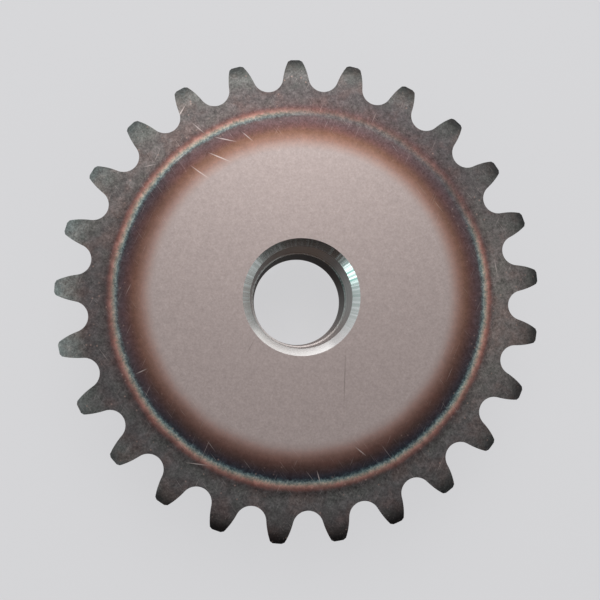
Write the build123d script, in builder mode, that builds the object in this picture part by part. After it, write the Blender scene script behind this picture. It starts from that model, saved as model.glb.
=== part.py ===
"""Chain sprocket for 3/8 in pitch bushing chain: a toothed plate with a hub on one side.

The whole sprocket is one steel piece. It is turned to a stepped blank, its tooth gaps are
hobbed through the plate, and it is bored from both ends.

Millimetres. The bore's axis is Z. The hub's end face lies on Z = 0 and the flat toothed
face is the top, facing +Z. A tooth is centred on +X.
"""

import os
from math import acos, cos, degrees, hypot, pi, radians, sin, sqrt

from build123d import *

# The chain that runs on it, and the teeth that fit it
pitch = 9.525
bushing_diameter = 5.08
teeth = 25
seat_angle = 148.0  # how far the round seat in a tooth gap reaches round the bushing
tip_height = 3.3  # from the pitch circle out to the tip circle
tooth_width = 4.3  # thickness of the toothed plate
tip_corner_break = 0.35
tooth_edge_break = 0.2

# Side relief: the curved taper that leads the chain's plates over the teeth
relief_depth = 1.2
relief_radius = 9.5

# Hub
overall_length = 20.0
hub_diameter = 50.0
hub_fillet = 1.5
hub_chamfer = 1.0

# Bore: the shaft seats in its rear half, and the front half is bored a little larger
bore_diameter = 17.0
relieved_bore_diameter = 17.5
relieved_bore_depth = 10.0
bore_chamfer = 1.2

# Sizes that follow from those above
pitch_radius = pitch / (2 * sin(pi / teeth))
outside_radius = pitch_radius + tip_height
root_radius = pitch_radius - bushing_diameter / 2
seat_radius = 0.505 * bushing_diameter  # the standard's least seat: 1% wider than the bushing
seat_centre_radius = root_radius + seat_radius
seat_half_angle = radians(seat_angle / 2)
flank_radius = 0.12 * bushing_diameter * (teeth + 2)  # the standard's, for its least gap
flank_turn = degrees(2 * tip_height / flank_radius)  # carries a flank well past the tip circle
plate_back = overall_length - tooth_width
relief_angle = degrees(acos((relief_radius - relief_depth) / relief_radius))
relief_start = outside_radius - sqrt(relief_radius**2 - (relief_radius - relief_depth) ** 2)
hub_radius = hub_diameter / 2
bore_radius = bore_diameter / 2
relieved_radius = relieved_bore_diameter / 2
bore_step = overall_length - relieved_bore_depth

# One tooth gap, with its seat's centre at the origin and its mouth towards +X: an arc that
# the bushing seats in, and rounded flanks that leave it at a tangent and open outwards
seat_end = (-seat_radius * cos(seat_half_angle), seat_radius * sin(seat_half_angle))

with BuildSketch() as tooth_gap:
    with BuildLine():
        seat = ThreePointArc((seat_end[0], -seat_end[1]), (-seat_radius, 0), seat_end)
        upper_flank = JernArc(seat @ 1, seat % 1, flank_radius, flank_turn)
        lower_flank = JernArc(seat @ 0, (seat % 0) * -1, flank_radius, -flank_turn)
        Line(upper_flank @ 1, lower_flank @ 1)
    make_face()

with BuildPart() as sprocket:
    # Turned blank: hub, plate with its side relief, and the stepped bore
    with BuildSketch(Plane.XZ) as half_section:
        with BuildLine():
            Polyline(
                (bore_radius + bore_chamfer, 0),
                (hub_radius - hub_chamfer, 0),
                (hub_radius, hub_chamfer),
                (hub_radius, plate_back - hub_fillet),
            )
            RadiusArc(
                (hub_radius, plate_back - hub_fillet),
                (hub_radius + hub_fillet, plate_back),
                hub_fillet,
            )
            Line((hub_radius + hub_fillet, plate_back), (relief_start, plate_back))
            back_relief = JernArc((relief_start, plate_back), (1, 0), relief_radius, relief_angle)
            front_relief = JernArc(
                (relief_start, overall_length), (1, 0), relief_radius, -relief_angle
            )
            Line(back_relief @ 1, front_relief @ 1)
            Polyline(
                (relief_start, overall_length),
                (relieved_radius + bore_chamfer, overall_length),
                (relieved_radius, overall_length - bore_chamfer),
                (relieved_radius, bore_step),
                (bore_radius, bore_step),
                (bore_radius, bore_chamfer),
                (bore_radius + bore_chamfer, 0),
            )
        make_face()
    revolve(axis=Axis.Z)

    # Hobbed teeth: the outline of the toothed plate, carried through the whole length
    with BuildSketch() as tooth_outline:
        Circle(outside_radius)
        with PolarLocations(seat_centre_radius, teeth, start_angle=180 / teeth):
            add(tooth_gap.sketch, mode=Mode.SUBTRACT)
        tip_corners = tooth_outline.vertices().group_by(lambda v: round(v.center().length, 3))[-1]
        chamfer(tip_corners, tip_corner_break)
    extrude(amount=overall_length, mode=Mode.INTERSECT)

    # The burrs are brushed off along both rims of the teeth: where the upright walls of the
    # gaps and tips end, front and back
    tooth_walls = sprocket.faces().filter_by(
        lambda f: abs(f.normal_at().Z) < 1e-3 and hypot(f.center().X, f.center().Y) > hub_radius
    )
    chamfer(tooth_walls.edges().filter_by(Axis.Z, reverse=True), tooth_edge_break)

sprocket.part.label = "sprocket"
print("pitch diameter", round(2 * pitch_radius, 2), "outside diameter", round(2 * outside_radius, 2))

os.makedirs("parts", exist_ok=True)
export_step(sprocket.part, "parts/sprocket.step")
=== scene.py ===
# %% [markdown]
# # A chain sprocket, dressed for the camera
#
# The real part is a toothed steel plate, about 83 mm across, with a hub on its hidden side.
# It was turned, its teeth were hobbed, and then it was hardened by heat, which left rings of
# colour round its face. CAD has settled its shape and its size. This lesson gives it a finer
# mesh on the same sizes, a finish that follows what was done to the steel, a floor and light.

# %% Load the frame
from math import acos, atan2, cos, pi, radians, sin, sqrt

import bmesh
import bpy
from mathutils import Euler, Matrix, Vector


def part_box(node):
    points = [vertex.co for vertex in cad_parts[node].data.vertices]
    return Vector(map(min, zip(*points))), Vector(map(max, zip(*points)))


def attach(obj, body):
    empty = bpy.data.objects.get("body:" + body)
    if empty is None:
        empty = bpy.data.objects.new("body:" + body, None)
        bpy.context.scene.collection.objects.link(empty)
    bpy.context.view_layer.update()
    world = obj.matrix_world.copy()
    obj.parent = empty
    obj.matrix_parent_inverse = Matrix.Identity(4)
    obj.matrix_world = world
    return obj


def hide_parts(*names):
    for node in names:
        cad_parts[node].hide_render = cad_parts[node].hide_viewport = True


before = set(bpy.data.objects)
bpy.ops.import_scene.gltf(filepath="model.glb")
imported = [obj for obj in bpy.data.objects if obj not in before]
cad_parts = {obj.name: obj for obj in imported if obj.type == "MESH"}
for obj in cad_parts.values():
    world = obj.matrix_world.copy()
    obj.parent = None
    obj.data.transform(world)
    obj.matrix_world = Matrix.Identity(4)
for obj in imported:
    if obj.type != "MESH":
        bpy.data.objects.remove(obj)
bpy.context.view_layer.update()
MM = 0.001
print("CAD nodes:", sorted(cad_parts))

# %% [markdown]
# ## The camera
#
# The sprocket lies on its hub and the camera looks down at its face, from only 100 mm away, so
# the walls of the bore and of the tooth gaps close in towards the back. The camera could be
# aimed with a Track To constraint, but here its turn is known as three small angles, and those
# go straight into its matrix. Its clipping starts nearer than Blender's 100 mm, or the face
# would be cut away.

# %% Camera
IMAGE_SIDE = 600
FOCAL_PIXELS = 600.7
FACE_HEIGHT = 20 * MM
CAMERA_DISTANCE = 101.15 * MM
SENSOR_WIDTH = 36  # mm, as Blender counts it
CLIP_START = 5 * MM
CAMERA_TURN = Euler((radians(3.025), radians(-3.122), radians(-5.161)))
AIM_OFFSET = Vector((0.315, 0.542, 0)) * MM

camera_data = bpy.data.cameras.new("camera")
camera_data.sensor_width = SENSOR_WIDTH
camera_data.lens = SENSOR_WIDTH * FOCAL_PIXELS / IMAGE_SIDE
camera_data.clip_start = CLIP_START
camera = bpy.data.objects.new("camera", camera_data)
bpy.context.scene.collection.objects.link(camera)
camera.matrix_world = (
    Matrix.Translation((0, 0, FACE_HEIGHT))
    @ CAMERA_TURN.to_matrix().to_4x4()
    @ Matrix.Translation(Vector((0, 0, CAMERA_DISTANCE)) - AIM_OFFSET)
)
bpy.context.scene.camera = camera
print("camera at", [round(c / MM, 1) for c in camera.matrix_world.translation], "mm")

# %% [markdown]
# ## Colours and nodes
#
# A colour picked on a screen is an sRGB value, and Blender's shaders work in linear light. One
# function turns the one into the other, so every colour here is written as it looks. A second
# function adds a node, sets it and links it, which keeps a material readable as a recipe.


# %% Helpers for materials
def linear(colour):
    """The linear colour that Blender wants for an sRGB hex value such as "a89b97"."""
    channels = [int(colour[i : i + 2], 16) / 255 for i in (0, 2, 4)]
    curve = [c / 12.92 if c <= 0.04045 else ((c + 0.055) / 1.055) ** 2.4 for c in channels]
    return (*curve, 1.0)


def add_node(tree, kind, links=None, stops=None, **settings):
    """A new node with its settings, each input in links set or linked, and a ramp's stops."""
    node = tree.nodes.new(kind)
    for name, value in settings.items():
        setattr(node, name, value)
    if stops:
        ramp = node.color_ramp.elements
        ramp.remove(ramp[1])
        ramp[0].position, ramp[0].color = stops[0]
        for place, colour in stops[1:]:
            ramp.new(place).color = colour
    for name, source in (links or {}).items():
        socket = node.inputs[name]
        if isinstance(source, bpy.types.NodeSocket):
            tree.links.new(source, socket)
        else:
            socket.default_value = source
    return node


print("a89b97 is", [round(c, 3) for c in linear("a89b97")])

# %% [markdown]
# ## The sprocket's mesh
#
# The frame's own mesh is made for checking sizes: loose flat triangles, which catch the light
# one by one. A smooth copy could be made by merging them, but their long slivers would still
# show on the curved taper of the teeth. So the same form is modelled again as loops. One
# tooth's outline is spun round the axis, and from then on each new loop is the last one
# extruded and drawn to its place: over the rim, across the face, down the bore and back round
# the hub. Every loop has the same number of points, so all the faces are neat quads.

# %% Sizes, as in the CAD source
TEETH = 25
PITCH_RADIUS = 9.525 * MM / (2 * sin(pi / TEETH))
BUSHING_DIAMETER = 5.08 * MM
OUTSIDE_RADIUS = PITCH_RADIUS + 3.3 * MM
ROOT_RADIUS = PITCH_RADIUS - BUSHING_DIAMETER / 2
SEAT_RADIUS = 0.505 * BUSHING_DIAMETER  # the standard's formula, as is the flank's below
SEAT_CENTRE = ROOT_RADIUS + SEAT_RADIUS
SEAT_HALF_ANGLE = radians(148 / 2)
FLANK_RADIUS = 0.12 * BUSHING_DIAMETER * (TEETH + 2)
TOOTH_WIDTH = 4.3 * MM
TIP_BREAK = 0.35 * MM
EDGE_BREAK = 0.2 * MM
RELIEF_DEPTH = 1.2 * MM
RELIEF_RADIUS = 9.5 * MM
RELIEF_START = OUTSIDE_RADIUS - sqrt(RELIEF_RADIUS**2 - (RELIEF_RADIUS - RELIEF_DEPTH) ** 2)
PLATE_MIDDLE = FACE_HEIGHT - TOOTH_WIDTH / 2
PLATE_BACK = FACE_HEIGHT - TOOTH_WIDTH
print("teeth start to taper at", round(RELIEF_START / MM, 2), "mm")

# %% [markdown]
# ### One tooth gap
#
# A hob leaves a round seat for the chain's bushing, and two slightly rounded flanks that open
# outwards. Half a gap is enough, and all of it is arcs: a point is spun about the seat's centre,
# then about the flank's centre, which lies in line with the seat's end so that the two arcs
# meet without a corner. The tip's corner is broken by one short straight edge, and a last spin
# goes about the sprocket's own axis, across half the tip. Mirror gives the other half, and a
# spin with copies gives all 25 gaps.

# %% Outline of half a gap
SEAT_STEPS = 14
FLANK_STEPS = 7
TIP_STEPS = 3
MERGE = 1e-7


def spin_point(bm, vert, centre, angle, steps):
    """Spins one vertex about an upright axis, and gives the vertex where the arc ends."""
    spun = bmesh.ops.spin(
        bm, geom=[vert], cent=centre, axis=(0, 0, 1), angle=angle, steps=steps, use_merge=False
    )
    return next(g for g in spun["geom_last"] if isinstance(g, bmesh.types.BMVert))


seat_centre = Vector((SEAT_CENTRE, 0, 0))
to_seat_end = Vector((-cos(SEAT_HALF_ANGLE), sin(SEAT_HALF_ANGLE), 0))
flank_centre = seat_centre + to_seat_end * (SEAT_RADIUS + FLANK_RADIUS)
reach = flank_centre.length
at_tip = acos((OUTSIDE_RADIUS**2 - reach**2 - FLANK_RADIUS**2) / (2 * reach * FLANK_RADIUS))
flank_turn = atan2(flank_centre.y, flank_centre.x) - at_tip + SEAT_HALF_ANGLE

bm = bmesh.new()
seat_bottom = bmesh.ops.create_vert(bm, co=(ROOT_RADIUS, 0, 0))["vert"][0]
seat_end = spin_point(bm, seat_bottom, seat_centre, -SEAT_HALF_ANGLE, SEAT_STEPS)
broken_turn = flank_turn - TIP_BREAK / FLANK_RADIUS
flank_end = spin_point(bm, seat_end, flank_centre, broken_turn, FLANK_STEPS)
corner = flank_centre - Matrix.Rotation(flank_turn, 3, "Z") @ to_seat_end * FLANK_RADIUS
tip_start = bmesh.ops.extrude_vert_indiv(bm, verts=[flank_end])["verts"][0]
tip_start.co = Matrix.Rotation(TIP_BREAK / OUTSIDE_RADIUS, 3, "Z") @ corner
tip_turn = pi / TEETH - atan2(tip_start.co.y, tip_start.co.x)
spin_point(bm, tip_start, (0, 0, 0), tip_turn, TIP_STEPS)
print("corner at", round(corner.length / MM, 3), "mm;", len(bm.verts), "points")

# %% All the gaps, joined into one outline
def everything(bm):
    return bm.verts[:] + bm.edges[:] + bm.faces[:]


bmesh.ops.mirror(bm, geom=everything(bm), axis="Y", merge_dist=MERGE)
bmesh.ops.rotate(bm, verts=bm.verts[:], matrix=Matrix.Rotation(pi / TEETH, 3, "Z"))
bmesh.ops.spin(
    bm,
    geom=everything(bm),
    axis=(0, 0, 1),
    angle=2 * pi * (TEETH - 1) / TEETH,
    steps=TEETH - 1,
    use_duplicate=True,
)
bmesh.ops.remove_doubles(bm, verts=bm.verts[:], dist=MERGE)
outline = bm.edges[:]
print("the outline has", len(outline), "edges and", len(bm.verts), "points")

# %% [markdown]
# ### The rims of the teeth
#
# On the real part the burrs are brushed off, which leaves a narrow bevel along every rim, and a
# curved taper leads the chain's plates over the teeth. A Bevel modifier after a Boolean would
# give the bevel too, but it stumbles where a curved taper meets a curved wall. Inset does it
# cleanly, because the outline is still flat: it makes a second outline a bevel's width inside
# the first. The height of every point then follows from how far it is from the axis.

# %% Edge break and taper
TAPER_STEPS = 10
TAPER_END = 34.9 * MM  # just inside the bottoms of the gaps


def face_height(radius):
    """How high the front face is at a radius: flat, then falling away in an arc."""
    past = max(0.0, radius - RELIEF_START)
    return FACE_HEIGHT - RELIEF_RADIUS + sqrt(RELIEF_RADIUS**2 - past**2)


def extrude_loop(bm, loop, place):
    """Extrudes a loop of edges, and puts each new point at place(its old position)."""
    made = bmesh.ops.extrude_edge_only(bm, edges=loop)["geom"]
    points = {g for g in made if isinstance(g, bmesh.types.BMVert)}
    for point in points:
        point.co = place(point.co)
    return [g for g in made if isinstance(g, bmesh.types.BMEdge) and points.issuperset(g.verts)]


lid = bmesh.ops.contextual_create(bm, geom=outline)["faces"][0]
bmesh.ops.inset_region(bm, faces=[lid], thickness=EDGE_BREAK, use_even_offset=True)
inner_edges = lid.edges[:]
outline = [e for e in bm.edges if e.is_boundary]
inner_points = set(lid.verts)
bmesh.ops.delete(bm, geom=[lid], context="FACES_ONLY")
for point in bm.verts:
    lowered = 0 if point in inner_points else EDGE_BREAK
    point.co.z = face_height(point.co.xy.length) - lowered
loop = inner_edges
for step in range(TAPER_STEPS, 0, -1):
    kept = (step - 1) / step

    def drawn_in(point):
        radius = TAPER_END + (point.xy.length - TAPER_END) * kept
        flat = point.xy.normalized() * radius
        return Vector((*flat, face_height(radius)))

    loop = extrude_loop(bm, loop, drawn_in)
extrude_loop(bm, outline, lambda point: Vector((*point.xy, PLATE_MIDDLE)))
print("front half of the teeth:", len(bm.faces), "faces")

# %% [markdown]
# ### From the teeth to the hub
#
# The plate's back is the same as its front, so the rims are mirrored about the middle of the
# plate. Between the two remaining circles lies everything that was turned on a lathe. A spun
# profile would need its own stitching to the teeth, so the front circle is simply extruded
# from corner to corner of the profile until it lands on the back circle. The bore's faces get
# materials of their own on the way, because they were cut after the heat.

# %% Back rims, bore and hub
HUB_RADIUS = 25 * MM
HUB_FILLET = 1.5 * MM
HUB_CHAMFER = 1 * MM
BORE_RADIUS = 8.5 * MM
RELIEVED_RADIUS = 8.75 * MM
BORE_STEP = 10 * MM
BORE_CHAMFER = 1.2 * MM
FILLET_STEPS = 8
FACE_FINISH, TURNED_FINISH, WALL_FINISH = 0, 1, 2

bmesh.ops.mirror(
    bm,
    geom=everything(bm),
    matrix=Matrix.Translation((0, 0, -PLATE_MIDDLE)),
    axis="Z",
    merge_dist=MERGE,
)
fillet = [
    (
        HUB_RADIUS + HUB_FILLET * (1 - cos(turn)),
        PLATE_BACK - HUB_FILLET * (1 - sin(turn)),
    )
    for turn in [radians(90) * step / FILLET_STEPS for step in range(FILLET_STEPS + 1)]
]
profile = [
    (RELIEVED_RADIUS + BORE_CHAMFER, FACE_HEIGHT, FACE_FINISH),
    (RELIEVED_RADIUS, FACE_HEIGHT - BORE_CHAMFER, TURNED_FINISH),
    (RELIEVED_RADIUS, BORE_STEP, WALL_FINISH),
    (BORE_RADIUS, BORE_STEP, TURNED_FINISH),
    (BORE_RADIUS, BORE_CHAMFER, WALL_FINISH),
    (BORE_RADIUS + BORE_CHAMFER, 0, TURNED_FINISH),
    (HUB_RADIUS - HUB_CHAMFER, 0, FACE_FINISH),
    (HUB_RADIUS, HUB_CHAMFER, FACE_FINISH),
    *((radius, height, FACE_FINISH) for radius, height in fillet),
    (TAPER_END, PLATE_BACK, FACE_FINISH),
]
for corner_radius, corner_height, finish in profile:
    done = set(bm.faces)
    loop = extrude_loop(
        bm,
        loop,
        lambda point: Vector((*(point.xy.normalized() * corner_radius), corner_height)),
    )
    for face in set(bm.faces) - done:
        face.material_index = finish
bmesh.ops.remove_doubles(bm, verts=bm.verts[:], dist=MERGE)
bmesh.ops.recalc_face_normals(bm, faces=bm.faces[:])
print("open edges:", sum(edge.is_boundary for edge in bm.edges))
print("volume:", round(bm.calc_volume() / MM**3), "cubic mm")

# %% [markdown]
# Smooth shading rounds every corner, so the edges where the surface turns by more than a few
# degrees are marked sharp. That keeps the turned corners and the bevels crisp, and leaves the
# seats, the tapers and the fillet smooth.

# %% The finished piece
SHARP_ANGLE = radians(20)

mesh = bpy.data.meshes.new("sprocket_body")
bm.to_mesh(mesh)
bm.free()
mesh.shade_smooth()
mesh.set_sharp_from_angle(angle=SHARP_ANGLE)
sprocket = bpy.data.objects.new("sprocket_body", mesh)
bpy.context.scene.collection.objects.link(sprocket)
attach(sprocket, "root")
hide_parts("sprocket")
lowest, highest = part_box("sprocket")
print("CAD box:", [round((b - a) / MM, 3) for a, b in zip(lowest, highest)])
print("mesh:", [round(side / MM, 3) for side in sprocket.dimensions], len(mesh.polygons), "faces")

# %% [markdown]
# ## Heat-tinted steel
#
# The teeth were hardened by heating the rim until it glowed and then quenching it. Away from
# the rim the steel got less hot, so its oxide skin is thinner, and a thin skin shows a colour
# of its own for every thickness: grey scale outside, a thin pale and pink line, then blue,
# purple, brown and straw, and last the bare face, which is matt as from a fine blast. Rings
# could be painted on an image, but a Color Ramp read by the distance from the axis stays sharp
# at any size. Steel under a skin is still a metal: Metallic stays 1 and the IOR stays at its
# default.
#
# Each steel here starts with an empty material and with where a point is, so two functions do
# that. The radial Gradient gives 0.5 towards the right of the face and grows anticlockwise.

# %% Start of a material
FACE_TURN = radians(5.161)


def empty_material(name):
    """A new material without nodes, and its node tree."""
    material = bpy.data.materials.new(name)
    material.use_nodes = True
    material.node_tree.nodes.clear()
    return material, material.node_tree


def where_it_is(tree):
    """A point's place, the same turned to the face's marks, and its angle from 0 to 1."""
    here = add_node(tree, "ShaderNodeTexCoord").outputs["Object"]
    turned = add_node(
        tree, "ShaderNodeMapping", {"Vector": here, "Rotation": (0, 0, FACE_TURN)}
    ).outputs["Vector"]
    angle = add_node(
        tree, "ShaderNodeTexGradient", {"Vector": turned}, gradient_type="RADIAL"
    ).outputs["Fac"]
    return here, turned, angle


steel, tree = empty_material("heat_tinted_steel")
here, face_place, angle = where_it_is(tree)
print(steel.name, "starts with", len(tree.nodes), "nodes")

# %% [markdown]
# The rings aren't quite round the axis, and their edges waver and break up into grains, as
# scale does. Drawing that into the ramps isn't possible, so the distance itself gets a coarse
# and a fine noise added before any ramp reads it.

# %% Distance from the axis
RING_OFFSET = Vector((0.1, 0.25, 0)) * MM
RAMP_REACH = 42 * MM
WAVER_SIZE = 5 * MM
WAVER = 0.5 * MM
GRAIN_SIZE = 0.32 * MM  # a blast leaves pits of about 0.1 mm, too fine to show here
SPECKLE = 0.9 * MM

ring_place = add_node(
    tree,
    "ShaderNodeMapping",
    {"Vector": face_place, "Location": -RING_OFFSET, "Scale": (1, 1, 0)},
).outputs["Vector"]
from_axis = add_node(
    tree, "ShaderNodeVectorMath", {0: ring_place}, operation="LENGTH"
).outputs["Value"]
waver = add_node(
    tree, "ShaderNodeTexNoise", {"Vector": here, "Scale": 1 / WAVER_SIZE, "Detail": 4.0}
).outputs["Fac"]
grain = add_node(
    tree,
    "ShaderNodeTexNoise",
    {"Vector": here, "Scale": 1 / GRAIN_SIZE, "Detail": 3.0, "Roughness": 0.65},
).outputs["Fac"]
wavering = add_node(
    tree, "ShaderNodeMath", {0: waver, 1: WAVER, 2: from_axis}, operation="MULTIPLY_ADD"
).outputs["Value"]
speckled = add_node(
    tree, "ShaderNodeMath", {0: grain, 1: SPECKLE, 2: wavering}, operation="MULTIPLY_ADD"
).outputs["Value"]
shift = (WAVER + SPECKLE) / 2
ring = add_node(
    tree,
    "ShaderNodeMapRange",
    {"Value": speckled, "From Min": shift, "From Max": RAMP_REACH + shift},
).outputs["Result"]
print("nodes so far:", len(tree.nodes))

# %% [markdown]
# A ramp's stop is a place from 0 to 1 and a colour. Millimetres and degrees are easier to read,
# and so is one number where only a share is meant, so three functions turn those into stops.

# %% Ramp stops
def tone(value):
    """A ramp's colour: an sRGB hex value made linear, or a share from 0 to 1 as a grey."""
    return linear(value) if isinstance(value, str) else (value, value, value, 1)


def rings(values):
    """Ramp stops from a list of (radius in mm, sRGB hex or share)."""
    return [(radius * MM / RAMP_REACH, tone(value)) for radius, value in values]


def round_the_face(values):
    """Ramp stops from a list of (degrees from -180 to 180, sRGB hex or share)."""
    return [(0.5 + degrees / 360, tone(value)) for degrees, value in values]


print("the taper starts at", round(RELIEF_START / RAMP_REACH, 3), "of a ramp of rings")

# %% [markdown]
# ### The skin
#
# The skin is thickest at the bottom and thinnest at the top, so one ramp can't serve all sides.
# There are two, one for the thick skin and one for the thin, and a third ramp says by angle how
# much of the thin one shows. It says the same at both its ends, which hides its seam.

# %% Thick skin
# The last stops, from 39.5 mm out on the tapers of the teeth, darken towards the tips: painted
# shade, not oxide.
THICK_SKIN_AND_TIP_SHADE = [
    (24.6, "a89b97"),
    (25.5, "a0908b"),
    (26.3, "927972"),
    (27.2, "795e56"),
    (28.1, "624943"),
    (29.0, "4d3d3a"),
    (29.8, "41393d"),
    (30.5, "363941"),
    (31.0, "3c464e"),
    (32.2, "655352"),
    (33.0, "545050"),
    (33.8, "686665"),
    (35.0, "6e6c6c"),
    (36.5, "686565"),
    (38.0, "676363"),
    (39.5, "5b5756"),
    (40.4, "494646"),
    (41.0, "343232"),
]
thick_skin_and_tip_shade = add_node(
    tree, "ShaderNodeValToRGB", {"Fac": ring}, stops=rings(THICK_SKIN_AND_TIP_SHADE)
).outputs["Color"]
print("thick skin:", len(THICK_SKIN_AND_TIP_SHADE), "colours")

# %% Thin skin
# Here too the last stops, from 39.6 mm out, darken the tips of the teeth: painted shade.
THIN_SKIN_AND_TIP_SHADE = [
    (25.0, "a89b97"),
    (26.0, "a58f87"),
    (27.0, "99786b"),
    (28.0, "876656"),
    (29.0, "785a56"),
    (30.0, "745f60"),
    (31.0, "766867"),
    (31.8, "7a6460"),
    (32.5, "736060"),
    (33.2, "6c5f5f"),
    (34.0, "6b6263"),
    (35.0, "676162"),
    (36.5, "686464"),
    (38.0, "6a6968"),
    (39.6, "5c5c59"),
    (41.0, "333232"),
]
thin_skin_and_tip_shade = add_node(
    tree, "ShaderNodeValToRGB", {"Fac": ring}, stops=rings(THIN_SKIN_AND_TIP_SHADE)
).outputs["Color"]
print("thin skin:", len(THIN_SKIN_AND_TIP_SHADE), "colours")

# %% Mixing the two by angle
THIN_SIDES = [
    (-180, 0.5),
    (-160, 0.4),
    (-137, 0.08),
    (-105, 0.0),
    (-55, 0.0),
    (-25, 0.15),
    (-5, 0.5),
    (40, 0.6),
    (62, 0.9),
    (110, 1.0),
    (128, 0.9),
    (145, 0.35),
    (165, 0.35),
    (180, 0.5),
]
thin_share = add_node(
    tree, "ShaderNodeValToRGB", {"Fac": angle}, stops=round_the_face(THIN_SIDES)
).outputs["Color"]
skin_and_tip_shade = add_node(
    tree,
    "ShaderNodeMix",
    {"Factor": thin_share, 6: thick_skin_and_tip_shade, 7: thin_skin_and_tip_shade},
    data_type="RGBA",
).outputs[2]
print("nodes so far:", len(tree.nodes))

# %% [markdown]
# ### The fine lines
#
# Two fine lines, a pale grey and a pink one, part the tint from the scale. They are bolder at
# some sides than at others, so they don't go into the skin's ramps. They get a ramp for their
# colour, one for how strong they are across their width and one for how strong at each side.

# %% Fine lines
LINE_COLOURS = [
    (30.8, "687f82"),
    (31.15, "95a39f"),
    (31.5, "b3a99c"),
    (31.9, "b48f84"),
    (32.3, "987068"),
]
LINE_STRENGTH = [(30.6, 0.0), (31.1, 0.85), (31.9, 0.95), (32.3, 0.6), (32.7, 0.0)]
LINE_SIDES = [
    (-180, 0.75),
    (-150, 0.85),
    (-50, 0.85),
    (-30, 1.0),
    (10, 1.0),
    (30, 0.15),
    (85, 0.2),
    (105, 0.85),
    (150, 1.0),
    (180, 0.75),
]
line_colour = add_node(
    tree, "ShaderNodeValToRGB", {"Fac": ring}, stops=rings(LINE_COLOURS)
).outputs["Color"]
line_strength = add_node(
    tree, "ShaderNodeValToRGB", {"Fac": ring}, stops=rings(LINE_STRENGTH)
).outputs["Color"]
line_sides = add_node(
    tree, "ShaderNodeValToRGB", {"Fac": angle}, stops=round_the_face(LINE_SIDES)
).outputs["Color"]
line_share = add_node(
    tree, "ShaderNodeMath", {0: line_strength, 1: line_sides}, operation="MULTIPLY"
).outputs["Value"]
tinted = add_node(
    tree, "ShaderNodeMix", {"Factor": line_share, 6: skin_and_tip_shade, 7: line_colour}, data_type="RGBA"
).outputs[2]
print("nodes so far:", len(tree.nodes))

# %% [markdown]
# ### Teeth and rim
#
# The teeth and the rim differ from side to side. The tapers of the left teeth are painted pale
# and greenish grey, a painted reflection of the light from the left, while the others are
# painted darker towards their tips, which is painted shade, and the rim is paler at the right and
# the upper left. A noise could strew pale places anywhere, but these belong to known sides, so
# each is one colour or ramp, mixed in by a share that goes by radius and by angle.

# %% Painted light on the left teeth
# The pale tapers of the left teeth are a painted reflection of the light from the left.
PAINTED_LIGHT_ON_TEETH = [(36.4, "686462"), (38.0, "868986"), (39.5, "989d9a"), (41.0, "959d9b")]
PAINTED_LIGHT_TEETH_SIDES = [
    (-180, 1.0),
    (-168, 0.9),
    (-150, 0.25),
    (-135, 0.35),
    (-115, 0.0),
    (-62, 0.0),
    (-45, 0.3),
    (-30, 0.1),
    (95, 0.1),
    (135, 0.6),
    (160, 1.0),
    (180, 1.0),
]
TEETH_START, TEETH_FULL = 36 * MM, 37.5 * MM
teeth_light_colour = add_node(
    tree, "ShaderNodeValToRGB", {"Fac": ring}, stops=rings(PAINTED_LIGHT_ON_TEETH)
).outputs["Color"]
teeth_light_sides = add_node(
    tree, "ShaderNodeValToRGB", {"Fac": angle}, stops=round_the_face(PAINTED_LIGHT_TEETH_SIDES)
).outputs["Color"]
on_teeth = add_node(
    tree,
    "ShaderNodeMapRange",
    {"Value": from_axis, "From Min": TEETH_START, "From Max": TEETH_FULL},
).outputs["Result"]
teeth_light_share = add_node(
    tree, "ShaderNodeMath", {0: teeth_light_sides, 1: on_teeth}, operation="MULTIPLY"
).outputs["Value"]
toothed = add_node(
    tree, "ShaderNodeMix", {"Factor": teeth_light_share, 6: tinted, 7: teeth_light_colour}, data_type="RGBA"
).outputs[2]
print("nodes so far:", len(tree.nodes))

# %% Pale rim
PALE_RIM = "8f8985"
PALE_RIM_SIDES = [
    (-180, 0.1),
    (-150, 0.05),
    (-60, 0.08),
    (-42, 0.15),
    (-27, 0.5),
    (-10, 0.8),
    (8, 0.8),
    (27, 0.3),
    (42, 0.05),
    (62, 0.1),
    (95, 0.25),
    (115, 0.4),
    (135, 0.55),
    (155, 0.45),
    (170, 0.2),
    (180, 0.1),
]
PALE_RIM_BAND = [(32.2, 0.0), (33.2, 1.0), (36.5, 0.8), (39.0, 0.45), (40.2, 0.0)]
rim_sides = add_node(
    tree, "ShaderNodeValToRGB", {"Fac": angle}, stops=round_the_face(PALE_RIM_SIDES)
).outputs["Color"]
rim_band = add_node(
    tree, "ShaderNodeValToRGB", {"Fac": ring}, stops=rings(PALE_RIM_BAND)
).outputs["Color"]
rim_share = add_node(
    tree, "ShaderNodeMath", {0: rim_sides, 1: rim_band}, operation="MULTIPLY"
).outputs["Value"]
scaled = add_node(
    tree, "ShaderNodeMix", {"Factor": rim_share, 6: toothed, 7: linear(PALE_RIM)}, data_type="RGBA"
).outputs[2]
print("nodes so far:", len(tree.nodes))

# %% [markdown]
# ### Grain, mottle and patches
#
# The face has the even grain of a fine blast, and the scale on the rim is mottled as well. Both
# have no direction, so plain noise does it. Mixed in as Overlay, a grey noise darkens and
# brightens what is under it and keeps its hue. Coloured noise would turn the steel green and
# purple, so the larger patches, a little warmer or cooler, take their colours from a mild ramp.

# %% Grain of the blast
RIM_START, RIM_FULL = 26 * MM, 32 * MM
GRAIN_ON_FACE, GRAIN_ON_RIM = 0.28, 0.85
on_rim = add_node(
    tree,
    "ShaderNodeMapRange",
    {"Value": from_axis, "From Min": RIM_START, "From Max": RIM_FULL},
).outputs["Result"]
grain_share = add_node(
    tree, "ShaderNodeMapRange", {"Value": on_rim, "To Min": GRAIN_ON_FACE, "To Max": GRAIN_ON_RIM}
).outputs["Result"]
grained = add_node(
    tree,
    "ShaderNodeMix",
    {"Factor": grain_share, 6: scaled, 7: grain},
    data_type="RGBA",
    blend_type="OVERLAY",
).outputs[2]
print("nodes so far:", len(tree.nodes))

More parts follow.
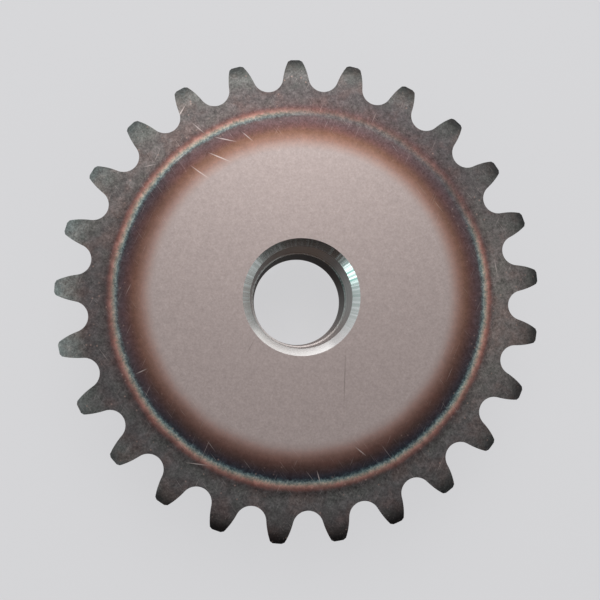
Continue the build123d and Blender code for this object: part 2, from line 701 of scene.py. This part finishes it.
# %% Mottle of the scale
MOTTLE_SIZE = 1.1 * MM
MOTTLE_ON_FACE, MOTTLE_ON_RIM = 0.14, 0.75
mottle = add_node(
    tree,
    "ShaderNodeTexNoise",
    {"Vector": here, "Scale": 1 / MOTTLE_SIZE, "Detail": 5.0, "Roughness": 0.7},
).outputs["Fac"]
mottle_share = add_node(
    tree,
    "ShaderNodeMapRange",
    {"Value": on_rim, "To Min": MOTTLE_ON_FACE, "To Max": MOTTLE_ON_RIM},
).outputs["Result"]
mottled = add_node(
    tree,
    "ShaderNodeMix",
    {"Factor": mottle_share, 6: grained, 7: mottle},
    data_type="RGBA",
    blend_type="OVERLAY",
).outputs[2]
print("nodes so far:", len(tree.nodes))

# %% Warmer and cooler patches
PATCH_SIZE = 3.5 * MM
PATCH_COLOURS = [(0.35, "94807b"), (0.5, "807e7e"), (0.65, "78807c")]
PATCH_STRENGTH = 0.7
patch = add_node(
    tree,
    "ShaderNodeTexNoise",
    {"Vector": here, "Scale": 1 / PATCH_SIZE, "Detail": 4.0, "Roughness": 0.6},
).outputs["Fac"]
patch_colour = add_node(
    tree,
    "ShaderNodeValToRGB",
    {"Fac": patch},
    stops=[(place, linear(colour)) for place, colour in PATCH_COLOURS],
).outputs["Color"]
patch_share = add_node(
    tree, "ShaderNodeMath", {0: on_rim, 1: PATCH_STRENGTH}, operation="MULTIPLY"
).outputs["Value"]
patched = add_node(
    tree,
    "ShaderNodeMix",
    {"Factor": patch_share, 6: mottled, 7: patch_colour},
    data_type="RGBA",
    blend_type="SOFT_LIGHT",
).outputs[2]
print("nodes so far:", len(tree.nodes))

# %% [markdown]
# ### Painted shade on the rims
#
# The walls of the teeth and their broken edges are painted nearly black: painted shade on the
# steep faces round the rim. Those faces could get a material of their own, but they lie among
# the others all round the rim. The normal in object space tells how upright the surface stands,
# and that finds them in the same material.

# %% Painted shade on the walls of the teeth
# Steep faces round the rim are painted nearly black: painted shade.
EDGE_SHADE = "1e1c1c"
EDGE_SHADE_START = 34.5 * MM
UNSHADED_TILT, SHADED_TILT = 0.86, 0.78  # height of the normal: 1 on level faces, 0 on walls
upright = add_node(tree, "ShaderNodeTexCoord").outputs["Normal"]
up = add_node(tree, "ShaderNodeSeparateXYZ", {"Vector": upright}).outputs["Z"]
tilt = add_node(tree, "ShaderNodeMath", {0: up}, operation="ABSOLUTE").outputs["Value"]
steep = add_node(
    tree, "ShaderNodeMapRange", {"Value": tilt, "From Min": UNSHADED_TILT, "From Max": SHADED_TILT}
).outputs["Result"]
past_rim = add_node(
    tree, "ShaderNodeMath", {0: from_axis, 1: EDGE_SHADE_START}, operation="GREATER_THAN"
).outputs["Value"]
edge_shade_share = add_node(
    tree, "ShaderNodeMath", {0: steep, 1: past_rim}, operation="MULTIPLY"
).outputs["Value"]
edge_shaded = add_node(
    tree, "ShaderNodeMix", {"Factor": edge_shade_share, 6: patched, 7: linear(EDGE_SHADE)}, data_type="RGBA"
).outputs[2]
print("nodes so far:", len(tree.nodes))

# %% [markdown]
# ### Wear
#
# Scratches are single marks with a place of their own. Each is a Spherical gradient, which is 1
# in the middle and 0 past a radius of 1, squeezed by a Mapping node to the length and width of
# the mark, so it tapers at both ends as a real scratch does.

# %% Scratches
PALE_MARK, DARK_MARK = "cdc0bb", "6a5f5d"
# x, y, degrees, length, width, share in the middle, colour; lengths in mm. Past 1 the middle
# of a mark is level, and only its ends taper.
MARKS = [
    (-13.9, 23.6, 158, 4.6, 0.26, 1.1, PALE_MARK),
    (-13.0, 26.7, 169, 4.2, 0.24, 0.9, PALE_MARK),
    (-17.4, 21.1, 144, 3.8, 0.24, 0.8, PALE_MARK),
    (-16.6, 20.6, 146, 2.6, 0.20, 0.6, PALE_MARK),
    (-9.3, 27.3, 140, 3.0, 0.22, 0.7, PALE_MARK),
    (-20.6, 23.4, 40, 3.6, 0.22, 0.6, PALE_MARK),
    (-25.6, 22.0, 14, 3.0, 0.22, 0.5, PALE_MARK),
    (-17.6, 28.6, 140, 3.4, 0.22, 0.6, PALE_MARK),
    (-20.5, 31.2, 62, 3.6, 0.26, 0.8, PALE_MARK),
    (2.8, -30.0, 105, 2.6, 0.22, 0.7, PALE_MARK),
    (-17.2, -27.6, 172, 4.4, 0.24, 0.6, PALE_MARK),
    (-26.5, -12.4, 25, 2.4, 0.24, 0.6, PALE_MARK),
    (9.8, -25.8, 140, 2.8, 0.24, 0.6, PALE_MARK),
    (33.4, 5.2, 100, 3.0, 0.24, 0.6, PALE_MARK),
    (7.2, -13.9, 88, 11.9, 0.26, 0.6, DARK_MARK),
    (-8.6, -8.4, 62, 4.0, 0.24, 0.4, DARK_MARK),
]
worn = edge_shaded
for x, y, turn, length, width, middle, colour in MARKS:
    lengthwise = add_node(
        tree,
        "ShaderNodeMapping",
        {
            "Vector": face_place,
            "Location": (x * MM, y * MM, FACE_HEIGHT),
            "Rotation": (0, 0, radians(turn)),
            "Scale": (length / 2 * MM, width / 2 * MM, 1 * MM),
        },
        vector_type="TEXTURE",
    ).outputs["Vector"]
    mark = add_node(
        tree, "ShaderNodeTexGradient", {"Vector": lengthwise}, gradient_type="SPHERICAL"
    ).outputs["Fac"]
    mark_share = add_node(
        tree, "ShaderNodeMath", {0: mark, 1: middle}, operation="MULTIPLY", use_clamp=True
    ).outputs["Value"]
    worn = add_node(
        tree, "ShaderNodeMix", {"Factor": mark_share, 6: worn, 7: linear(colour)}, data_type="RGBA"
    ).outputs[2]
print(len(MARKS), "marks; nodes so far:", len(tree.nodes))

# %% [markdown]
# Handling also leaves faint rub marks that nobody would place one by one. A noise that is
# stretched far in one direction gives streaks, and where only its highest peaks count they
# become single short marks. Two directions are enough to look like chance.

# %% Rub marks
RUB_WIDTH = 0.16 * MM  # finer in truth, but then it would not show
RUB_STRETCH = 0.035  # how slowly the noise changes along a mark, against across it
RUB_TURNS = (37, -24)
RUB_FAINT, RUB_FULL = 0.68, 0.84
RUB_STRENGTH = 0.32
for turn in RUB_TURNS:
    lengthwise = add_node(
        tree,
        "ShaderNodeMapping",
        {
            "Vector": face_place,
            "Rotation": (0, 0, radians(turn)),
            "Scale": (1, 1 / RUB_STRETCH, 1),
        },
        vector_type="TEXTURE",
    ).outputs["Vector"]
    rub = add_node(
        tree, "ShaderNodeTexNoise", {"Vector": lengthwise, "Scale": 1 / RUB_WIDTH, "Detail": 1.0}
    ).outputs["Fac"]
    rub_share = add_node(
        tree,
        "ShaderNodeMapRange",
        {"Value": rub, "From Min": RUB_FAINT, "From Max": RUB_FULL, "To Max": RUB_STRENGTH},
    ).outputs["Result"]
    worn = add_node(
        tree,
        "ShaderNodeMix",
        {"Factor": rub_share, 6: worn, 7: linear(PALE_MARK)},
        data_type="RGBA",
    ).outputs[2]
print("rub marks in", len(RUB_TURNS), "directions; nodes so far:", len(tree.nodes))

# %% [markdown]
# Where scale has flaked off, the rim has small bright specks. A noise would make blotches of
# every size. A Voronoi texture has cells with one centre each, so a small disc round each
# centre gives specks of one size that never touch.

# %% Specks
SPECK_SPACING = 1.5 * MM
SPECK_RADIUS = 0.13  # of the spacing
SPECK_COLOUR = "a98e84"
SPECK_STRENGTH = 0.7
to_centre = add_node(
    tree, "ShaderNodeTexVoronoi", {"Vector": here, "Scale": 1 / SPECK_SPACING}
).outputs["Distance"]
speck = add_node(
    tree, "ShaderNodeMapRange", {"Value": to_centre, "From Min": SPECK_RADIUS, "From Max": 0.0}
).outputs["Result"]
rim_speck = add_node(
    tree, "ShaderNodeMath", {0: speck, 1: on_rim}, operation="MULTIPLY"
).outputs["Value"]
speck_share = add_node(
    tree, "ShaderNodeMath", {0: rim_speck, 1: SPECK_STRENGTH}, operation="MULTIPLY"
).outputs["Value"]
specked = add_node(
    tree,
    "ShaderNodeMix",
    {"Factor": speck_share, 6: worn, 7: linear(SPECK_COLOUR)},
    data_type="RGBA",
).outputs[2]
print("nodes so far:", len(tree.nodes))

# %% [markdown]
# The pits of the blast are far too small and shallow to model. Bump lets the same grain tilt
# the surface where light meets it, so the metal breaks up its reflections and looks matt.

# %% Shader of the steel
GRAIN_DEPTH = 0.02 * MM
GRAIN_BUMP = 0.6
BLASTED_ROUGHNESS = 0.5
bump = add_node(
    tree, "ShaderNodeBump", {"Height": grain, "Distance": GRAIN_DEPTH, "Strength": GRAIN_BUMP}
).outputs["Normal"]
shader = add_node(
    tree,
    "ShaderNodeBsdfPrincipled",
    {"Base Color": specked, "Metallic": 1.0, "Roughness": BLASTED_ROUGHNESS, "Normal": bump},
)
add_node(tree, "ShaderNodeOutputMaterial", {"Surface": shader.outputs["BSDF"]})
mesh.materials.append(steel)
print(steel.name, "has", len(tree.nodes), "nodes")

# %% [markdown]
# ## The bore
#
# The chamfer and the little ledge half-way down were turned last of all, so they are bare and
# bright, with the tool's chatter as streaks across the chamfer. A smooth metal shows whatever
# is round it, so its roughness is low. The streaks could be modelled as ridges, but a 1D noise
# read by the angle is enough. It runs straight across the chamfer, and where the angle jumps
# from 1 back to 0, the seam is only one more edge of a streak.

# %% Painted reflections on the chamfer
# The chamfer's colour by side is painted reflection: pale at the bottom, darker at the top and
# with painted glints at the right.
CHAMFER_REFLECTION_SIDES = [
    (-180, "c6c2be"),
    (-140, "f4f0ed"),
    (-45, "fbf8f6"),
    (-30, "eceeec"),
    (5, "dce4e2"),
    (22, "b8c2c0"),
    (40, "d4dcda"),
    (50, "ccc6c2"),
    (100, "ccc6c2"),
    (116, "e8eae8"),
    (150, "dce0de"),
    (180, "c6c2be"),
]
chamfer_steel, tree = empty_material("turned_steel")
here, face_place, angle = where_it_is(tree)
painted_light_by_side = add_node(
    tree, "ShaderNodeValToRGB", {"Fac": angle}, stops=round_the_face(CHAMFER_REFLECTION_SIDES)
).outputs["Color"]
print("chamfer:", len(CHAMFER_REFLECTION_SIDES), "colours")

# %% Streaks of the chamfer
STREAKS = 110  # in a whole turn
STREAK_COLOURS = [(0.36, "3c4040"), (0.5, "808080"), (0.64, "d0e0de")]
# The chatter is the steel's own, but its strength by side paints the glint of the light from the
# left: partly painted highlight.
STREAK_GLINT_SIDES = [
    (-180, 0.3),
    (-140, 0.12),
    (-45, 0.12),
    (-25, 0.6),
    (10, 0.9),
    (42, 0.9),
    (60, 0.35),
    (100, 0.35),
    (116, 0.8),
    (150, 0.6),
    (180, 0.3),
]
TURNED_ROUGHNESS = 0.24
chatter = add_node(
    tree,
    "ShaderNodeTexNoise",
    {"W": angle, "Scale": STREAKS, "Detail": 2.0},
    noise_dimensions="1D",
).outputs["Fac"]
streaks = add_node(
    tree,
    "ShaderNodeValToRGB",
    {"Fac": chatter},
    stops=[(place, linear(colour)) for place, colour in STREAK_COLOURS],
).outputs["Color"]
streak_glint_sides = add_node(
    tree, "ShaderNodeValToRGB", {"Fac": angle}, stops=round_the_face(STREAK_GLINT_SIDES)
).outputs["Color"]
streaked = add_node(
    tree,
    "ShaderNodeMix",
    {"Factor": streak_glint_sides, 6: painted_light_by_side, 7: streaks},
    data_type="RGBA",
    blend_type="OVERLAY",
).outputs[2]
shader = add_node(
    tree,
    "ShaderNodeBsdfPrincipled",
    {"Base Color": streaked, "Metallic": 1.0, "Roughness": TURNED_ROUGHNESS},
)
add_node(tree, "ShaderNodeOutputMaterial", {"Surface": shader.outputs["BSDF"]})
mesh.materials.append(chamfer_steel)
print(chamfer_steel.name, "has", len(tree.nodes), "nodes")

# %% [markdown]
# The wall of the bore is the same steel, but duller. Rough turned walls also look dark along
# their length, because each groove hides part of the next, and the metal's Specular Tint, which
# acts on glancing light, stands for that. A ramp by angle paints the lower side of the wall paler
# and the upper side darker and browner, and the wall behind the ledge darker still: painted
# reflection and painted shade.

# %% Painted shade on the bore's wall
# The wall's colour by side is painted: paler at the bottom as painted reflection, darker and
# browner at the top as painted shade.
WALL_SHADE_SIDES = [
    (-180, "b4aeaa"),
    (-140, "cac0bc"),
    (-60, "d6cac6"),
    (-40, "c0b8b4"),
    (-10, "c6c8c6"),
    (15, "bcc0be"),
    (45, "767371"),
    (70, "776a62"),
    (120, "6e635d"),
    (150, "8e8a88"),
    (180, "b4aeaa"),
]
GROOVE_SPACING = 1.5 * MM  # finer in truth, but then it would not show
GROOVE_STRENGTH = 0.9
wall_steel, tree = empty_material("bore_wall_painted_shade")
here, face_place, angle = where_it_is(tree)
height = add_node(tree, "ShaderNodeSeparateXYZ", {"Vector": here}).outputs["Z"]
painted_light_by_side = add_node(
    tree, "ShaderNodeValToRGB", {"Fac": angle}, stops=round_the_face(WALL_SHADE_SIDES)
).outputs["Color"]
grooves = add_node(
    tree,
    "ShaderNodeTexNoise",
    {"W": height, "Scale": 1 / GROOVE_SPACING, "Detail": 3.0},
    noise_dimensions="1D",
).outputs["Fac"]
grooved = add_node(
    tree,
    "ShaderNodeMix",
    {"Factor": GROOVE_STRENGTH, 6: painted_light_by_side, 7: grooves},
    data_type="RGBA",
    blend_type="OVERLAY",
).outputs[2]
print("wall:", len(WALL_SHADE_SIDES), "colours")

# %% Painted shade behind the ledge
# The wall behind the ledge is painted almost black, strongest on its upper side: painted shade in
# the depth of the bore.
SHADE_BEHIND_LEDGE = "151414"
SHADE_BEHIND_SIDES = [
    (-180, 0.6),
    (-140, 0.1),
    (-50, 0.1),
    (-15, 0.6),
    (25, 0.9),
    (60, 1.0),
    (150, 0.95),
    (180, 0.6),
]
GLANCING_TINT = "a8a4a2"
DULL_ROUGHNESS = 0.45
ledge_shade_mask = add_node(
    tree, "ShaderNodeMath", {0: height, 1: BORE_STEP}, operation="LESS_THAN"
).outputs["Value"]
ledge_shade_sides = add_node(
    tree, "ShaderNodeValToRGB", {"Fac": angle}, stops=round_the_face(SHADE_BEHIND_SIDES)
).outputs["Color"]
ledge_shade_share = add_node(
    tree, "ShaderNodeMath", {0: ledge_shade_mask, 1: ledge_shade_sides}, operation="MULTIPLY"
).outputs["Value"]
shaded_wall = add_node(
    tree,
    "ShaderNodeMix",
    {"Factor": ledge_shade_share, 6: grooved, 7: linear(SHADE_BEHIND_LEDGE)},
    data_type="RGBA",
).outputs[2]
shader = add_node(
    tree,
    "ShaderNodeBsdfPrincipled",
    {
        "Base Color": shaded_wall,
        "Metallic": 1.0,
        "Roughness": DULL_ROUGHNESS,
        "Specular Tint": linear(GLANCING_TINT),
    },
)
add_node(tree, "ShaderNodeOutputMaterial", {"Surface": shader.outputs["BSDF"]})
mesh.materials.append(wall_steel)
print(wall_steel.name, "has", len(tree.nodes), "nodes")

# %% [markdown]
# ## Floor and light
#
# The floor is one large plain sheet, paler than any part of the steel. Lit paper alone comes out
# uneven and a little dark, so where the camera or a shiny surface looks at it, most of it is a
# plain emission of the same colour, which a Light Path node picks out. The rest is matt paper
# that takes the sprocket's soft shadow. Other rays see only paper, so it adds no light.

# %% Floor
PAPER = "d7d7d9"
PLAIN_SHARE = 0.85
FLOOR_REACH = 3.0

floor_mesh = bpy.data.meshes.new("floor")
bm = bmesh.new()
bmesh.ops.create_grid(bm, x_segments=1, y_segments=1, size=FLOOR_REACH)
bm.to_mesh(floor_mesh)
bm.free()
floor = bpy.data.objects.new("floor", floor_mesh)
bpy.context.scene.collection.objects.link(floor)
paper, tree = empty_material("floor_paper")
matt = add_node(tree, "ShaderNodeBsdfDiffuse", {"Color": linear(PAPER)}).outputs["BSDF"]
plain = add_node(tree, "ShaderNodeEmission", {"Color": linear(PAPER)}).outputs["Emission"]
path = add_node(tree, "ShaderNodeLightPath")
seen = path.outputs["Is Camera Ray"]
for kind_of_ray in ("Is Glossy Ray", "Is Transmission Ray"):
    seen = add_node(
        tree, "ShaderNodeMath", {0: seen, 1: path.outputs[kind_of_ray]}, operation="MAXIMUM"
    ).outputs["Value"]
plain_share = add_node(
    tree, "ShaderNodeMath", {0: seen, 1: PLAIN_SHARE}, operation="MULTIPLY"
).outputs["Value"]
mixed = add_node(
    tree, "ShaderNodeMixShader", {"Fac": plain_share, 1: matt, 2: plain}
).outputs["Shader"]
add_node(tree, "ShaderNodeOutputMaterial", {"Surface": mixed})
floor_mesh.materials.append(paper)
print("floor:", [round(side, 1) for side in floor.dimensions], "m")

# %% [markdown]
# The world gives most of the light, evenly from all sides, as a light tent does. Metal shows
# what is round it, so a bare tent would leave the face flat: a dark card low on the near side
# makes the lower half of the face and the top of the chamfer darker. A card is one face between
# four corners, and the camera doesn't see it.

# %% World and card
TENT = "d4d4d6"
WORLD_STRENGTH = 0.95
CARD_PAINT = "1e1e1e"
BLACK_CARD = [(-0.5, -0.24, 0.17), (0.42, -0.24, 0.17), (0.42, -0.5, 0.0), (-0.5, -0.5, 0.0)]


def card(name, corners, colour):
    """A matt sheet on four corners in metres, seen by the light but not by the camera."""
    card_mesh = bpy.data.meshes.new(name)
    bm = bmesh.new()
    points = [bmesh.ops.create_vert(bm, co=co)["vert"][0] for co in corners]
    bmesh.ops.contextual_create(bm, geom=points)
    bm.to_mesh(card_mesh)
    bm.free()
    board = bpy.data.objects.new(name, card_mesh)
    bpy.context.scene.collection.objects.link(board)
    board.visible_camera = False
    paint, tree = empty_material(name)
    matt = add_node(tree, "ShaderNodeBsdfDiffuse", {"Color": linear(colour)}).outputs["BSDF"]
    add_node(tree, "ShaderNodeOutputMaterial", {"Surface": matt})
    card_mesh.materials.append(paint)
    print(name, "is", [round(side, 2) for side in board.dimensions], "m")


world = bpy.data.worlds.new("studio")
bpy.context.scene.world = world
world.use_nodes = True
background = world.node_tree.nodes["Background"]
background.inputs["Color"].default_value = linear(TENT)
background.inputs["Strength"].default_value = WORLD_STRENGTH
card("black_card", BLACK_CARD, CARD_PAINT)

# %% [markdown]
# Three soft boxes do the rest. The large one stands high on the far side, so the face fades
# evenly from its far edge to its near one. The small one lies low at the left, as a window
# would, and puts the glint on the chamfer and a faint light on the walls of the right-hand
# teeth. The strip lies low on the far side and lights the near side of the bore and of its
# chamfer. A box is aimed with to_track_quat, since a lamp shines down its own Z axis.


# %% Lamps
def soft_box(name, place, aim, width, height, power):
    """A flat lamp of this size in metres and power in watts, aimed at a point."""
    lamp = bpy.data.lights.new(name, "AREA")
    lamp.shape = "RECTANGLE"
    lamp.size = width
    lamp.size_y = height
    lamp.energy = power
    soft = bpy.data.objects.new(name, lamp)
    turn = (Vector(place) - Vector(aim)).to_track_quat("Z", "Y").to_matrix().to_4x4()
    soft.matrix_world = Matrix.Translation(place) @ turn
    bpy.context.scene.collection.objects.link(soft)
    print(name, power, "W at", place)


soft_box("top_box", (0.03, 0.33, 0.40), (0, 0, 0), 0.35, 0.35, 1.3)
soft_box("window", (-0.45, -0.15, 0.09), (0, 0, 0.02), 0.16, 0.16, 0.24)
soft_box("strip", (0.2, 0.6, 0.09), (0, 0, 0.02), 1.1, 0.12, 0.30)

# %% [markdown]
# ## Finish
#
# The Standard view shows a colour as it was written.

# %% Finish
bpy.context.scene.view_settings.view_transform = "Standard"
